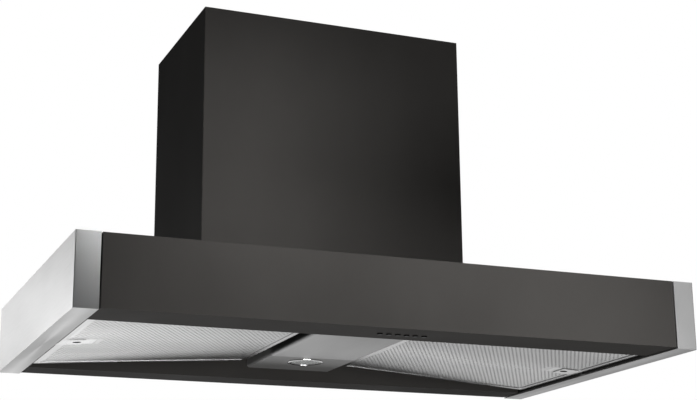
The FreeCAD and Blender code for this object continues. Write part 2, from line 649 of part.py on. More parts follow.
def motor_box():
    """The sheet box round the blower, open below and flanged onto the top panel."""
    body = new_body("motor_box")
    wall = "Dims.box_wall"
    x = "Dims.box_half"
    flange = f"({x} + Dims.box_flange)"
    block(body, "case", (f"-{x}", x), ("Dims.box_front", "Dims.box_rear"), (DECK, "Dims.box_top"))
    block(body, "flange", (f"-{flange}", flange), ("Dims.box_front", "Dims.box_rear"),
          (DECK, f"{DECK} + {wall}"))
    block(body, "hollow", (f"-{x} + {wall}", f"{x} - {wall}"),
          (f"Dims.box_front + {wall}", f"Dims.box_rear - {wall}"),
          (DECK, f"Dims.box_top - {wall}"), pocket)
    disc(body, "outlet", "XY_Plane", ("0", "Dims.duct_y"), "Dims.duct_radius - Dims.duct_wall",
         (f"Dims.box_top - {wall}", "Dims.box_top"), pocket)
    holes(body, "screw_holes", "XY_Plane", BOX_SCREWS, "Dims.screw_radius",
          (DECK, f"{DECK} + {wall}"))
    holes(body, "collar_holes", "XY_Plane", COLLAR_SCREWS, "Dims.screw_radius",
          (f"Dims.box_top - {wall}", "Dims.box_top"))
    return body


def scroll_outline(sketch, inset, top):
    """The scroll's profile: three quarter arcs of growing radius and a straight outlet."""
    left = "(Dims.wheel_y - Dims.scroll_shift)"
    low = "(Dims.wheel_z - Dims.scroll_rise)"
    step = "Dims.scroll_step"
    small = f"(Dims.scroll_radius - {inset})"
    right = f"({left} + {small} + 3 * {step})"
    tongue = f"(Dims.wheel_y + Dims.tongue + {inset})"
    shifted = f"({left} + {step})"
    raised = f"({low} + {step})"
    outline(sketch, [(right, top), (tongue, top), (tongue, f"{low} + {small}"),
                     (left, f"{low} + {small}", left, low),
                     (f"{left} - {small}", low, shifted, low),
                     (shifted, f"{low} - {small} - {step}", shifted, raised),
                     (right, raised)])


def blower_housing():
    """The scroll, open at the top and with an inlet on both sides."""
    body = new_body("blower_housing")
    half = "Dims.scroll_half"
    wall = "Dims.scroll_wall"
    top = "(Dims.box_top - Dims.box_wall)"
    sketch = sketch_on(body, "outside", "YZ_Plane", f"-{half}")
    scroll_outline(sketch, "0", top)
    pad(body, sketch, f"2 * {half}")
    sketch = sketch_on(body, "inside", "YZ_Plane", f"-{half} + {wall}")
    scroll_outline(sketch, wall, top)
    pocket(body, sketch, f"2 * ({half} - {wall})")
    disc(body, "inlets", "YZ_Plane", ("Dims.wheel_y", "Dims.wheel_z"), "Dims.inlet_radius",
         (f"-{half}", half), pocket)
    holes(body, "bracket_holes", "YZ_Plane", SPIDER_SCREWS, "Dims.screw_radius",
          (f"-{half}", f"-{half} + {wall}"))
    return body


SPIDER_RING = "(Dims.inlet_radius + Dims.spider_out)"
SPIDER_SCREWS = [(f"Dims.wheel_y + {SPIDER_RING} * cos({turn})",
                  f"Dims.wheel_z + {SPIDER_RING} * sin({turn})") for turn in (90, 210, 330)]


def motor_bracket():
    """A three-armed bracket across the left inlet that carries the motor."""
    body = new_body("motor_bracket")
    centre = ("Dims.wheel_y", "Dims.wheel_z")
    span = ("-Dims.scroll_half - Dims.spider_thick", "-Dims.scroll_half")
    disc(body, "hub", "YZ_Plane", centre, "Dims.spider_hub", span)
    for number, turn in enumerate((90, 210, 330), 1):
        sketch = sketch_on(body, f"arm_{number}", "YZ_Plane", span[0])
        corners = []
        for reach, side in ((0, -1), (1, -1), (1, 1), (0, 1)):
            along = f"{reach} * ({SPIDER_RING} + Dims.spider_end)"
            across = f"{side} * Dims.spider_arm"
            corners.append((f"{centre[0]} + {along} * cos({turn}) - {across} * sin({turn})",
                            f"{centre[1]} + {along} * sin({turn}) + {across} * cos({turn})"))
        outline(sketch, corners)
        pad(body, sketch, f"{span[1]} - ({span[0]})")
    holes(body, "screw_holes", "YZ_Plane", SPIDER_SCREWS, "Dims.screw_radius", span)
    return body


def motor():
    """The motor: a round case with a bored nose for the shaft."""
    body = new_body("motor")
    centre = ("Dims.wheel_y", "Dims.wheel_z")
    face = "(-Dims.motor_inner)"
    disc(body, "case", "YZ_Plane", centre, "Dims.motor_radius", ("-Dims.scroll_half", face))
    end = f"{face} + Dims.nose_height"
    disc(body, "nose", "YZ_Plane", centre, "Dims.hub_radius + Dims.nose_rim", (face, end))
    disc(body, "bore", "YZ_Plane", centre, "Dims.shaft_radius + Dims.shaft_play",
         (f"{face} - Dims.shaft_depth", end), pocket)
    round_edges(body, "Dims.motor_edge", lambda edge: at(edge.CenterOfMass.x, face)
                and at(edge.Length, f"2 * {math.pi} * Dims.motor_radius"))
    return body


def motor_shaft():
    body = new_body("motor_shaft")
    disc(body, "rod", "YZ_Plane", ("Dims.wheel_y", "Dims.wheel_z"), "Dims.shaft_radius",
         ("-Dims.motor_inner - Dims.shaft_depth + Dims.shaft_gap", "Dims.shaft_end"))
    return body


def impeller():
    """The fan wheel: a middle disc with a hub, two end rings and a cage of blades."""
    body = new_body("impeller")
    body.setExpression("Placement.Base.y", "Dims.wheel_y")
    body.setExpression("Placement.Base.z", "Dims.wheel_z")
    centre = ("0", "0")
    half = "Dims.wheel_half"
    thick = "Dims.blade_thick"
    hub = ("-Dims.hub_half", "Dims.hub_half")
    disc(body, "disc", "YZ_Plane", centre, "Dims.wheel_radius", ("-Dims.disc_half", "Dims.disc_half"))
    disc(body, "hub", "YZ_Plane", centre, "Dims.hub_radius", hub)
    sketch = sketch_on(body, "blade", "YZ_Plane", f"-{half}")
    tip = "Dims.wheel_radius - Dims.blade_inset"
    outline(sketch, [("Dims.blade_inner", "0"), (tip, "Dims.blade_lean"),
                     (tip, f"Dims.blade_lean + {thick}"), ("Dims.blade_inner", thick)])
    blade = pad(body, sketch, f"2 * {half}")
    wheel = body.newObject("PartDesign::PolarPattern", "impeller_blades")
    wheel.Originals = [blade]
    wheel.Axis = (next(item for item in body.Origin.OriginFeatures if item.Role == "X_Axis"), [""])
    wheel.Angle = 360
    wheel.setExpression("Occurrences", "Dims.blade_count")
    body.Tip = wheel
    radii = ("Dims.wheel_radius", "Dims.wheel_radius - Dims.ring_width")
    ring(body, "left_ring", "YZ_Plane", centre, radii, (f"-{half}", f"-{half} + Dims.ring_thick"))
    ring(body, "right_ring", "YZ_Plane", centre, radii, (f"{half} - Dims.ring_thick", half))
    disc(body, "bore", "YZ_Plane", centre, "Dims.shaft_radius", hub, pocket)
    return body


# ---------------------------------------------------------------- duct collar and damper

def duct_collar():
    """The round spigot on the blower box, with a ledge that the damper flaps rest on."""
    body = new_body("duct_collar")
    spot = ("0", "Dims.duct_y")
    inner = "(Dims.duct_radius - Dims.duct_wall)"
    foot = "Dims.box_top"
    ledge = "(Dims.flap_z - Dims.flap_barrel - Dims.ledge_gap)"
    plate = (foot, f"{foot} + Dims.duct_plate")
    ring(body, "tube", "XY_Plane", spot, ("Dims.duct_radius", inner),
         (foot, f"{foot} + Dims.duct_height"))
    ring(body, "flange", "XY_Plane", spot, ("Dims.duct_flange", inner), plate)
    ring(body, "shoulder", "XY_Plane", spot, ("Dims.duct_shoulder", inner),
         (foot, f"{foot} + Dims.shoulder_height"))
    ring(body, "ledge", "XY_Plane", spot, (f"{inner} + Dims.ledge_bite", "Dims.ledge_radius"),
         (f"{ledge} - Dims.ledge_thick", ledge))
    holes(body, "screw_holes", "XY_Plane", COLLAR_SCREWS, "Dims.screw_radius", plate)
    return body


def damper_flap(side, name):
    """A half-disc flap with a hinge barrel along its straight edge."""
    body = new_body(f"{name}_damper_flap")
    axis = f"(Dims.duct_y + {side} * Dims.flap_axis)"
    under = "(Dims.flap_z - Dims.flap_barrel)"
    top = f"({under} + Dims.flap_thick)"
    disc(body, "plate", "XY_Plane", ("0", "Dims.duct_y"), "Dims.flap_radius", (under, top))
    spare = "(Dims.flap_radius + Dims.flap_spare)"
    if side > 0:
        away = (f"Dims.duct_y - {spare}", axis)
    else:
        away = (axis, f"Dims.duct_y + {spare}")
    block(body, "half", (f"-{spare}", spare), away, (under, top), pocket)
    reach = "(Dims.flap_radius - Dims.barrel_inset)"
    disc(body, "barrel", "YZ_Plane", (axis, "Dims.flap_z"), "Dims.flap_barrel",
         (f"-{reach}", reach))
    disc(body, "bore", "YZ_Plane", (axis, "Dims.flap_z"), "Dims.flap_pin + Dims.flap_play",
         (f"-{spare}", spare), pocket)
    return body


def damper_pins():
    """The two fixed pins across the collar that the flaps turn on."""
    reach = "(sqrt((Dims.duct_radius - Dims.duct_wall) ^ 2 - Dims.flap_axis ^ 2) - Dims.flap_end)"
    pins = [cylinder(f"damper_pin_{name}", (f"-{reach}", f"Dims.duct_y + {side} * Dims.flap_axis",
                                            "Dims.flap_z"), (1, 0, 0), "Dims.flap_pin",
                     f"2 * {reach}") for side, name in ((-1, "front"), (1, "rear"))]
    return cluster("damper_pins", pins)


# ---------------------------------------------------------------- electrics

def electrics():
    """Terminal box with its block and gland, the run capacitor and the lamp transformer."""
    wall = "Dims.box_half"
    thick = "Dims.case_wall"
    outside = [(wall, f"{wall} + Dims.case_width"), ("Dims.case_front", "Dims.case_rear"),
               ("Dims.case_low", "Dims.case_high")]
    inside = [(f"{low} + {thick}", f"{high} - {thick}") for low, high in outside]
    gland_spot = (f"{wall} + Dims.gland_x", "Dims.gland_y")
    box = new_body("terminal_box")
    block(box, "case", *outside)
    block(box, "hollow", *inside, pocket)
    disc(box, "cable_hole", "XY_Plane", gland_spot, "Dims.gland_neck + Dims.gland_play",
         (f"Dims.case_high - {thick}", "Dims.case_high"), pocket)
    terminals = new_body("terminal_block")
    near = f"{wall} + Dims.block_inset"
    floor = f"Dims.case_low + {thick}"
    block(terminals, "block", (near, f"{near} + Dims.block_width"),
          ("Dims.block_front", "Dims.block_rear"), (floor, f"{floor} + Dims.block_height"))
    gland = new_body("cable_gland")
    disc(gland, "neck", "XY_Plane", gland_spot, "Dims.gland_neck",
         ("Dims.gland_low", "Dims.gland_step"))
    disc(gland, "nut", "XY_Plane", gland_spot, "Dims.gland_nut",
         ("Dims.case_high", "Dims.gland_top"))
    disc(gland, "bore", "XY_Plane", gland_spot, "Dims.gland_bore",
         ("Dims.gland_low", "Dims.gland_top"), pocket)
    round_edges(gland, "Dims.gland_edge", lambda edge: at(edge.CenterOfMass.z, "Dims.gland_top")
                and at(edge.Length, f"2 * {math.pi} * Dims.gland_nut"))
    capacitor = new_body("motor_capacitor")
    end = f"{wall} + Dims.cap_length"
    disc(capacitor, "can", "YZ_Plane", ("Dims.cap_y", "Dims.cap_z"), "Dims.cap_radius", (wall, end))
    round_edges(capacitor, "Dims.cap_edge", lambda edge: at(edge.CenterOfMass.x, end))
    transformer = new_body("lamp_transformer")
    under = f"({DECK} - Dims.gauge)"
    block(transformer, "case", ("-Dims.coil_half", "Dims.coil_half"),
          ("Dims.coil_front", "Dims.coil_rear"), (f"{under} - Dims.coil_height", under))
    round_edges(transformer, "Dims.coil_edge", lambda edge: runs(edge, "z"))
    return [box, terminals, gland, capacitor, transformer]


# ---------------------------------------------------------------- assembly

nodes = [front_lip(), flat_panel("front_panel", f"(-{REAR})", 1, TOP), rear_lip(), rear_panel(),
         top_panel(), tray("centre_tray", LIP_FRONT, "Dims.lamp_split"), lamp_panel(),
         chimney_cover(), chimney_bracket(), motor_box(), blower_housing(), motor_bracket(),
         motor(), motor_shaft(), impeller(), duct_collar(), damper_pins(),
         damper_flap(-1, "front"), damper_flap(1, "rear")]
nodes += lamp()
nodes += controls()
nodes += electrics()
nodes += [push_button(index) for index in range(int(value("Dims.button_count")))]
for side, name in ((-1, "left"), (1, "right")):
    nodes.append(end_frame(side, name))
    nodes.append(side_rail(side, name))
    nodes += filter_set(side, name)
nodes.append(screws("motor_box_screws", [(x, y, f"{DECK} + Dims.box_wall") for x, y in BOX_SCREWS],
                    (0, 0, -1)))
nodes.append(screws("collar_screws", [(x, y, "Dims.box_top + Dims.duct_plate")
                                      for x, y in COLLAR_SCREWS], (0, 0, -1)))
nodes.append(screws("motor_bracket_screws", [("-Dims.scroll_half - Dims.spider_thick", y, z)
                                             for y, z in SPIDER_SCREWS], (1, 0, 0)))
doc.recompute()

for item in doc.Objects:
    if "Invalid" in item.State or "Error" in item.State:
        raise RuntimeError(f"{item.Name} failed: {item.State}")
    if item.TypeId != "PartDesign::Pocket":
        continue
    if item.Shape.Volume > item.BaseFeature.Shape.Volume - LEAST_CUT:
        raise RuntimeError(f"{item.Name} cuts nothing")
for node in nodes:
    if node.Shape.isNull() or not node.Shape.isValid() or not node.Shape.Solids:
        raise RuntimeError(f"{node.Label} has no valid solid")

os.makedirs("parts", exist_ok=True)
for node in nodes:
    node.Shape.exportStep(f"parts/{node.Label}.step")
    size = node.Shape.BoundBox
    print(f"{node.Label}: {len(node.Shape.Solids)} solid(s), {node.Shape.Volume / 1000:.1f} cm3,"
          f" X {size.XMin:.1f}..{size.XMax:.1f} Y {size.YMin:.1f}..{size.YMax:.1f}"
          f" Z {size.ZMin:.1f}..{size.ZMax:.1f}")
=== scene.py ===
import json
import math

import bmesh
import bpy
from mathutils import Matrix, Vector


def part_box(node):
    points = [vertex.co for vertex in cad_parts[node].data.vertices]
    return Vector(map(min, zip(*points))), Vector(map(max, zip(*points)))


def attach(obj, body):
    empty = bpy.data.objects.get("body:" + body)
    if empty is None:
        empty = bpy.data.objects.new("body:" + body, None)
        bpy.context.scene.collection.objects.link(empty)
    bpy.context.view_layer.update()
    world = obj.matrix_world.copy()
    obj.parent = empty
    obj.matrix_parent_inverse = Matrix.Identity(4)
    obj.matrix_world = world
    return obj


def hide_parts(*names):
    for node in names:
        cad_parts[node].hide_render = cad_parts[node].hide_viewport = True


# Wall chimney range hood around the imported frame: dark coated canopy and chimney cover,
# brushed steel ends, perforated grease filters, lamp tray and push buttons.
# Metres, Z up, +Y towards the wall.

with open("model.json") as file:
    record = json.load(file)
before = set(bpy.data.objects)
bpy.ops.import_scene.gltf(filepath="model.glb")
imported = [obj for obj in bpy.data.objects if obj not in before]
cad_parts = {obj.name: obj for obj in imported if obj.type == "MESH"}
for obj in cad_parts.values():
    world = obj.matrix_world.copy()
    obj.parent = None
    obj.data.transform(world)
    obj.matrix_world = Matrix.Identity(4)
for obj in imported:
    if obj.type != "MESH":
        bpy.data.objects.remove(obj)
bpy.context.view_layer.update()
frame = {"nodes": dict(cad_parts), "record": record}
nodes = frame["nodes"]

SIDES = ((-1, "left"), (1, "right"))


# ---------------------------------------------------------------- material nodes

EDGE_SAMPLES = 4
EDGE_TURN = (0.8, 0.98)  # cosines: a normal turned this far is all edge, and this little none


class Finish:
    """A material with one Principled shader and short ways to add to its node tree."""

    def __init__(self, name, **sockets):
        self.material = bpy.data.materials.new(name)
        self.material.use_nodes = True
        self.tree = self.material.node_tree
        self.shader = self.tree.nodes["Principled BSDF"]
        self.place = self.add("ShaderNodeTexCoord").outputs["Object"]
        for socket, number in sockets.items():
            self.shader.inputs[socket.replace("_", " ")].default_value = number

    def add(self, kind, **inputs):
        node = self.tree.nodes.new(kind)
        for name, given in inputs.items():
            self.feed(node.inputs[name.replace("_", " ")], given)
        return node

    def feed(self, socket, given):
        if isinstance(given, bpy.types.NodeSocket):
            self.tree.links.new(given, socket)
        else:
            socket.default_value = given

    def noise(self, scale, detail=3.0, rough=0.5):
        """Noise over the object's own space, stretched by a scale per axis."""
        stretch = self.add("ShaderNodeMapping", Vector=self.place, Scale=scale)
        texture = self.add("ShaderNodeTexNoise", Vector=stretch.outputs["Vector"], Scale=1.0,
                           Detail=detail, Roughness=rough)
        return texture.outputs["Fac"]

    def spread(self, factor, low, high, start=0.3, end=0.7):
        """A factor mapped from start..end on to low..high."""
        node = self.add("ShaderNodeMapRange", Value=factor)
        for name, number in (("From Min", start), ("From Max", end), ("To Min", low),
                             ("To Max", high)):
            node.inputs[name].default_value = number
        return node.outputs["Result"]

    def mix(self, factor, first, second):
        node = self.tree.nodes.new("ShaderNodeMix")
        node.data_type = "RGBA"
        self.feed(node.inputs["Factor"], factor)
        self.feed(node.inputs[6], first)
        self.feed(node.inputs[7], second)
        return node.outputs[2]

    def multiply(self, first, second):
        node = self.tree.nodes.new("ShaderNodeMath")
        node.operation = "MULTIPLY"
        self.feed(node.inputs[0], first)
        self.feed(node.inputs[1], second)
        return node.outputs["Value"]

    def edges(self, radius):
        """1 along the outer edges and 0 on the flats, from how far a rounded normal turns."""
        bevel = self.add("ShaderNodeBevel", Radius=radius)
        bevel.samples = EDGE_SAMPLES
        normal = self.add("ShaderNodeNewGeometry").outputs["Normal"]
        dot = self.tree.nodes.new("ShaderNodeVectorMath")
        dot.operation = "DOT_PRODUCT"
        self.feed(dot.inputs[0], bevel.outputs["Normal"])
        self.feed(dot.inputs[1], normal)
        return self.spread(dot.outputs["Value"], 1.0, 0.0, *EDGE_TURN)

    def bump(self, height, strength, distance):
        node = self.add("ShaderNodeBump", Height=height, Strength=strength, Distance=distance)
        self.feed(self.shader.inputs["Normal"], node.outputs["Normal"])


def rgba(grey, warm=0.0):
    """A grey, a little warmer or colder."""
    return (grey * (1 + warm), grey, grey * (1 - warm), 1.0)


def brushed(name, grey, rough, along, warm=0.0, wear=0.0005, grain=0.06, **sockets):
    """Brushed metal: long fine scratches along an axis, faint smears and bright edges."""
    finish = Finish(name, Metallic=1.0, **sockets)
    fine, broad = [1500.0] * 3, [5.0] * 3
    fine["xyz".index(along)] = 14.0
    broad["xyz".index(along)] = 1.6
    lines = finish.noise(fine, 4.0, 0.65)
    smears = finish.noise(broad, 3.0, 0.55)
    body = finish.mix(finish.spread(lines, 0.0, 1.0), rgba(grey * 0.9, warm), rgba(grey * 1.08, warm))
    clouded = finish.mix(finish.spread(smears, 0.0, 0.35), body, rgba(grey * 0.86, warm))
    if wear:
        clouded = finish.mix(finish.multiply(finish.edges(wear), 0.5), clouded, rgba(0.9))
    finish.feed(finish.shader.inputs["Base Color"], clouded)
    finish.feed(finish.shader.inputs["Roughness"],
                finish.spread(smears, rough - 0.05, rough + 0.07))
    finish.bump(lines, grain, 0.0004)
    return finish.material


def coated(name, grey, rough, warm=0.03, wear=0.0004, **sockets):
    """Baked coat on sheet metal: fine orange peel, faint clouds and slightly rubbed edges."""
    finish = Finish(name, **sockets)
    peel = finish.noise([900.0] * 3, 3.0, 0.5)
    clouds = finish.noise([6.0, 6.0, 4.0], 4.0, 0.6)
    body = finish.mix(finish.spread(clouds, 0.0, 1.0), rgba(grey * 0.92, warm), rgba(grey * 1.08, warm))
    speck = finish.noise([2600.0] * 3, 1.0, 0.4)
    flecked = finish.mix(finish.spread(speck, 0.0, 0.25, 0.5, 0.75), body, rgba(grey * 1.8, warm))
    if wear:
        flecked = finish.mix(finish.multiply(finish.edges(wear), 0.35), flecked, rgba(grey * 4, warm))
    finish.feed(finish.shader.inputs["Base Color"], flecked)
    finish.feed(finish.shader.inputs["Roughness"],
                finish.spread(clouds, rough - 0.05, rough + 0.06))
    finish.bump(peel, 0.05, 0.0003)
    return finish.material


def moulded(name, colour, rough, texture=0.12, **sockets):
    """Moulded plastic: spark-eroded texture with slow changes in tone and gloss."""
    finish = Finish(name, **sockets)
    pits = finish.noise([2200.0] * 3, 2.0, 0.6)
    clouds = finish.noise([30.0] * 3, 3.0, 0.5)
    deep = tuple(part * 0.86 for part in colour) + (1.0,)
    pale = tuple(min(1.0, part * 1.12) for part in colour) + (1.0,)
    finish.feed(finish.shader.inputs["Base Color"],
                finish.mix(finish.spread(clouds, 0.0, 1.0), deep, pale))
    finish.feed(finish.shader.inputs["Roughness"],
                finish.spread(pits, rough - 0.06, rough + 0.08))
    finish.bump(pits, texture, 0.0002)
    return finish.material


def spangled(name, grey, rough):
    """Galvanised sheet: crystals of a few millimetres, each with its own tone and gloss."""
    finish = Finish(name, Metallic=1.0)
    crystals = finish.add("ShaderNodeTexVoronoi", Vector=finish.place, Scale=170.0, Randomness=1.0)
    tone = finish.add("ShaderNodeSeparateColor", Color=crystals.outputs["Color"]).outputs["Red"]
    clouds = finish.noise([9.0] * 3, 3.0, 0.6)
    body = finish.mix(tone, rgba(grey * 0.93, -0.02), rgba(grey * 1.05, -0.02))
    finish.feed(finish.shader.inputs["Base Color"],
                finish.mix(finish.spread(clouds, 0.0, 0.3), body, rgba(grey * 0.7)))
    finish.feed(finish.shader.inputs["Roughness"],
                finish.spread(tone, rough - 0.05, rough + 0.05, 0.0, 1.0))
    finish.bump(tone, 0.05, 0.0002)
    return finish.material


def frosted(name):
    """Pressed frosted glass with a fine etched bump."""
    finish = Finish(name, IOR=1.5, Transmission_Weight=0.75)
    etch = finish.noise([1800.0] * 3, 2.0, 0.6)
    clouds = finish.noise([60.0] * 3, 2.0, 0.5)
    finish.feed(finish.shader.inputs["Base Color"],
                finish.mix(clouds, (0.86, 0.88, 0.88, 1.0), (0.95, 0.95, 0.94, 1.0)))
    finish.feed(finish.shader.inputs["Roughness"], finish.spread(etch, 0.22, 0.42))
    finish.bump(etch, 0.15, 0.0002)
    return finish.material


def printed_board(name):
    """Lacquered circuit board with a faint web of tracks under the lacquer."""
    finish = Finish(name, Coat_Weight=0.4, Coat_Roughness=0.15)
    cells = finish.add("ShaderNodeTexVoronoi", Vector=finish.place, Scale=260.0, Randomness=0.0)
    cells.distance = "CHEBYCHEV"
    tracks = finish.spread(cells.outputs["Distance"], 0.0, 1.0, 0.34, 0.4)
    finish.feed(finish.shader.inputs["Base Color"],
                finish.mix(tracks, (0.02, 0.12, 0.05, 1.0), (0.05, 0.22, 0.1, 1.0)))
    finish.feed(finish.shader.inputs["Roughness"],
                finish.spread(finish.noise([400.0] * 3), 0.35, 0.5))
    finish.bump(tracks, 0.2, 0.0001)
    return finish.material


FINISHES = {
    "dark_coat": coated("dark_coat", 0.042, 0.5, warm=0.05, IOR=1.06),
    "dark_rail": coated("dark_rail", 0.012, 0.5, Specular_IOR_Level=0.3),
    "lamp_grey": coated("lamp_grey", 0.24, 0.38, warm=0.01, Specular_IOR_Level=0.5),
    "brushed_steel": brushed("brushed_steel", 0.66, 0.36, "y", Anisotropic=0.4),
    "tray_steel": brushed("tray_steel", 0.42, 0.34, "y"),
    "filter_steel": brushed("filter_steel", 0.72, 0.26, "y"),
    "filter_sheet": brushed("filter_sheet", 0.82, 0.3, "x", wear=0.0),
    "filter_mesh": brushed("filter_mesh", 0.62, 0.36, "x", wear=0.0),
    "latch_steel": brushed("latch_steel", 0.8, 0.24, "y"),
    "lamp_chrome": brushed("lamp_chrome", 0.78, 0.14, "z", grain=0.02),
    "lamp_metal": brushed("lamp_metal", 0.8, 0.2, "z", grain=0.03),
    "motor_metal": brushed("motor_metal", 0.36, 0.42, "y"),
    "shaft_steel": brushed("shaft_steel", 0.7, 0.18, "x", grain=0.02),
    "capacitor_metal": brushed("capacitor_metal", 0.66, 0.28, "x", grain=0.03),
    "screw_steel": brushed("screw_steel", 0.6, 0.3, "z", grain=0.03),
    "zinc_steel": spangled("zinc_steel", 0.6, 0.42),
    "black_plastic": moulded("black_plastic", (0.022, 0.022, 0.023), 0.5),
    "wheel_plastic": moulded("wheel_plastic", (0.1, 0.1, 0.105), 0.42),
    "collar_plastic": moulded("collar_plastic", (0.04, 0.04, 0.04), 0.45),
    "flap_plastic": moulded("flap_plastic", (0.3, 0.3, 0.31), 0.4),
    "switch_plastic": moulded("switch_plastic", (0.06, 0.06, 0.06), 0.4),
    "slider_black": moulded("slider_black", (0.012, 0.012, 0.012), 0.5),
    "button_black": moulded("button_black", (0.004, 0.004, 0.004), 0.3, 0.04, IOR=1.1),
    "terminal_white": moulded("terminal_white", (0.62, 0.61, 0.57), 0.35),
    "lamp_glass": frosted("lamp_glass"),
    "board_green": printed_board("board_green"),
}

slot_of = {part["node"]: part["material_slot"] for part in frame["record"]["subparts"]}
for node_name, node in nodes.items():
    node.data.materials.clear()
    node.data.materials.append(FINISHES[slot_of[node_name]])


# ---------------------------------------------------------------- pieces

def piece(name, mesh_data, body, slot_name, replaced):
    """A finished mesh as a piece that rides on a body and takes a slot's finish."""
    mesh = bpy.data.meshes.new(name)
    mesh_data.to_mesh(mesh)
    mesh_data.free()
    mesh.materials.append(FINISHES[slot_name])
    made = bpy.data.objects.new(name, mesh)
    bpy.context.scene.collection.objects.link(made)
    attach(made, body)
    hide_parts(*replaced)
    return made


SHARP_EDGE = math.radians(35)


def smooth(made):
    """Smooth shading on all but the sharp edges."""
    for face in made.data.polygons:
        face.use_smooth = True
    made.data.set_sharp_from_angle(angle=SHARP_EDGE)


CORNER_REACH = 0.002
FLAT_ENOUGH = 0.9


class Layer:
    """One tilted flat layer of a filter: where it lies, how thick it is, where its latch starts.

    Its own frame has X along the slope from the inner edge outwards and Y towards the wall."""

    def __init__(self, side, name, layer_name):
        self.side = side
        self.node_name = f"{name}_filter_{layer_name}"
        self.low, self.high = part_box(self.node_name)
        self.latch_low, self.latch_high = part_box(f"{name}_latch_housing")
        points = [vertex.co for vertex in nodes[self.node_name].data.vertices]
        inner = min(side * point.x for point in points) + CORNER_REACH
        outer = max(side * point.x for point in points) - CORNER_REACH
        self.start = min((p for p in points if side * p.x < inner), key=lambda p: p.z)
        last = min((p for p in points if side * p.x > outer), key=lambda p: p.z)
        self.slope = math.atan2(self.start.z - last.z, side * (last.x - self.start.x))
        self.length = (last - self.start).xz.length
        latch_inner = min(side * self.latch_low.x, side * self.latch_high.x)
        self.notch_start = (latch_inner - side * self.start.x) / math.cos(self.slope)

    def thickness(self):
        """From the layer's volume and the area of its largest faces."""
        mesh = bmesh.new()
        mesh.from_mesh(nodes[self.node_name].data)
        volume = abs(mesh.calc_volume())
        flat = [face for face in mesh.faces if abs(face.normal.z) > FLAT_ENOUGH]
        area = sum(face.calc_area() for face in flat) / 2
        mesh.free()
        return volume / area

    def lay(self, mesh):
        """Moves a mesh from the layer's own frame to its place in the hood."""
        seat = Matrix.Translation(Vector((self.start.x, 0.0, self.start.z)))
        tilt = Matrix.Rotation(self.side * self.slope, 4, "Y")
        flip = Matrix.Scale(self.side, 4, Vector((1.0, 0.0, 0.0)))
        bmesh.ops.transform(mesh, matrix=seat @ tilt @ flip, verts=mesh.verts)
        bmesh.ops.recalc_face_normals(mesh, faces=mesh.faces)


HOLE_PITCH = 0.00739
ROW_PITCH = 0.0064
HOLE_RADIUS = 0.0017
HOLE_SIDES = 8
PLAIN_EDGE = 0.0105
NOTCH_PLAY = 0.0002
NOTCH_INSET = 0.0005


def perforated_sheet(side, name):
    """The filter's face: rows of staggered round holes in a sheet with a plain margin."""
    layer = Layer(side, name, "sheet")
    low, high = layer.low, layer.high
    notch_start = layer.notch_start
    notch = (layer.latch_low.y - NOTCH_PLAY, layer.latch_high.y + NOTCH_PLAY)
    rows_in_notch = round((notch[1] - notch[0]) / ROW_PITCH)
    row = (notch[1] - notch[0]) / rows_in_notch
    before = int((notch[0] - low.y - PLAIN_EDGE) / row)
    after = int((high.y - PLAIN_EDGE - notch[1]) / row)
    half = HOLE_PITCH / 2
    left = int((notch_start - PLAIN_EDGE) / half)
    right = int((layer.length - PLAIN_EDGE - notch_start) / half)
    columns = left + right
    rows = before + rows_in_notch + after
    mesh = bmesh.new()
    made = {}

    def along(column):
        """How far along the slope a column of half cells starts."""
        if column < 0:
            return 0.0
        if column > columns:
            return layer.length
        return notch_start - NOTCH_INSET + (column - left) * half

    def across(step):
        """The Y of a half row."""
        if step < 0:
            return low.y
        if step > 2 * rows:
            return high.y
        return notch[0] + (step / 2 - before) * row

    def corner(column, step):
        key = (column, step)
        if key not in made:
            made[key] = mesh.verts.new((along(column), across(step), 0.0))
        return made[key]

    def plain(column, step):
        """A plain cell, with the mid points that its neighbours' hole cells have."""
        ring = [(column, step), (column + 1, step)]
        if (column + 1, step + 1) in made:
            ring.append((column + 1, step + 1))
        ring += [(column + 1, step + 2), (column, step + 2)]
        if (column, step + 1) in made:
            ring.append((column, step + 1))
        mesh.faces.new([corner(*key) for key in ring])

    def cells(r):
        """How many half cells a row holds; rows beside the latch stop at it."""
        if before <= r < before + rows_in_notch:
            return left
        return columns

    holes = set()
    for r in range(rows):
        limit = cells(r)
        margin = 2 if limit == left else 0
        for column in range(r % 2, limit - 1 - margin, 2):
            holes.update({(column, r), (column + 1, r)})
            middle = Vector((along(column + 1), across(2 * r + 1), 0.0))
            ring = [(column + 2, 2 * r + 1), (column + 2, 2 * r + 2), (column + 1, 2 * r + 2),
                    (column, 2 * r + 2), (column, 2 * r + 1), (column, 2 * r), (column + 1, 2 * r),
                    (column + 2, 2 * r)]
            rim = []
            for step in range(HOLE_SIDES):
                turn = math.tau * step / HOLE_SIDES
                offset = Vector((math.cos(turn), math.sin(turn), 0.0)) * HOLE_RADIUS
                rim.append(mesh.verts.new(middle + offset))
            for step in range(HOLE_SIDES):
                following = (step + 1) % HOLE_SIDES
                mesh.faces.new([rim[step], corner(*ring[step]), corner(*ring[following]),
                                rim[following]])
    for r in range(rows):
        for column in range(-1, cells(r) if cells(r) == left else columns + 1):
            if (column, r) not in holes:
                plain(column, 2 * r)
    for column in range(-1, columns + 1):
        for first, last in ((-1, 0), (2 * rows, 2 * rows + 1)):
            mesh.faces.new([corner(column, first), corner(column + 1, first),
                            corner(column + 1, last), corner(column, last)])
    bmesh.ops.recalc_face_normals(mesh, faces=mesh.faces)
    solid = bmesh.ops.extrude_face_region(mesh, geom=mesh.faces[:])
    lifted = [item for item in solid["geom"] if isinstance(item, bmesh.types.BMVert)]
    bmesh.ops.translate(mesh, verts=lifted, vec=(0.0, 0.0, layer.thickness()))
    layer.lay(mesh)
    piece(f"{name}_perforated_sheet", mesh, f"{name}_filter", "filter_sheet", [layer.node_name])


